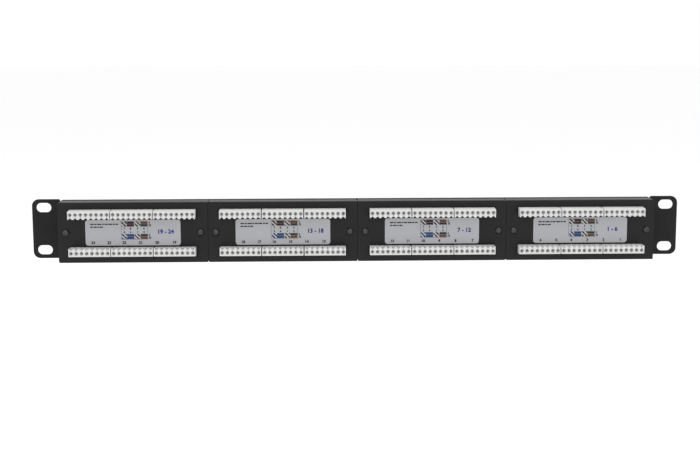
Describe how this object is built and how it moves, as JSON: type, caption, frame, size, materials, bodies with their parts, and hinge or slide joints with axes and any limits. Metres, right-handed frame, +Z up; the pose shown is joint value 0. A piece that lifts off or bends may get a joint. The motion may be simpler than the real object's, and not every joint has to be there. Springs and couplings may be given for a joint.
{
  "type": "patch panel",
  "caption": "Rack-mount network patch panel: folded steel front with modular jacks, black rear covers, white punch-down blocks and grey wiring labels.",
  "frame": {"origin": "middle of the four rack slots, on the back face of the ears", "axes": "+X along the panel from port 1 towards port 24, +Y towards the punch-down side, +Z up"},
  "size_m": [0.4826, 0.0335, 0.0442],
  "materials": {
    "panel_steel": "black powder coat, fine texture",
    "zinc_steel": "zinc plated",
    "black_screw": "black zinc",
    "cover_plastic": "black moulded ABS",
    "board": "green solder mask",
    "label_foil": "silver-grey printed film",
    "jack_plastic": "black moulded PBT",
    "gold_plate": "gold plated",
    "tinned_bronze": "tin plated phosphor bronze",
    "block_plastic": "white moulded polycarbonate"
  },
  "bodies": {
    "root": {"front_panel": "panel_steel", "panel_standoffs": "zinc_steel", "cover_screws": "black_screw", "rear_cover_1": "cover_plastic", "rear_cover_2": "cover_plastic", "rear_cover_3": "cover_plastic", "rear_cover_4": "cover_plastic", "circuit_board_1": "board", "circuit_board_2": "board", "circuit_board_3": "board", "circuit_board_4": "board", "wiring_label_1": "label_foil", "wiring_label_2": "label_foil", "wiring_label_3": "label_foil", "wiring_label_4": "label_foil", "jacks_1": "jack_plastic", "jacks_2": "jack_plastic", "jacks_3": "jack_plastic", "jacks_4": "jack_plastic", "jack_wires_1": "gold_plate", "jack_wires_2": "gold_plate", "jack_wires_3": "gold_plate", "jack_wires_4": "gold_plate", "punch_contacts_1": "tinned_bronze", "punch_contacts_2": "tinned_bronze", "punch_contacts_3": "tinned_bronze", "punch_contacts_4": "tinned_bronze", "punch_block_1_upper_1": "block_plastic", "punch_block_1_upper_2": "block_plastic", "punch_block_1_upper_3": "block_plastic", "punch_block_1_lower_1": "block_plastic", "punch_block_1_lower_2": "block_plastic", "punch_block_1_lower_3": "block_plastic", "punch_block_2_upper_1": "block_plastic", "punch_block_2_upper_2": "block_plastic", "punch_block_2_upper_3": "block_plastic", "punch_block_2_lower_1": "block_plastic", "punch_block_2_lower_2": "block_plastic", "punch_block_2_lower_3": "block_plastic", "punch_block_3_upper_1": "block_plastic", "punch_block_3_upper_2": "block_plastic", "punch_block_3_upper_3": "block_plastic", "punch_block_3_lower_1": "block_plastic", "punch_block_3_lower_2": "block_plastic", "punch_block_3_lower_3": "block_plastic", "punch_block_4_upper_1": "block_plastic", "punch_block_4_upper_2": "block_plastic", "punch_block_4_upper_3": "block_plastic", "punch_block_4_lower_1": "block_plastic", "punch_block_4_lower_2": "block_plastic", "punch_block_4_lower_3": "block_plastic"}
  },
  "joints": []
}
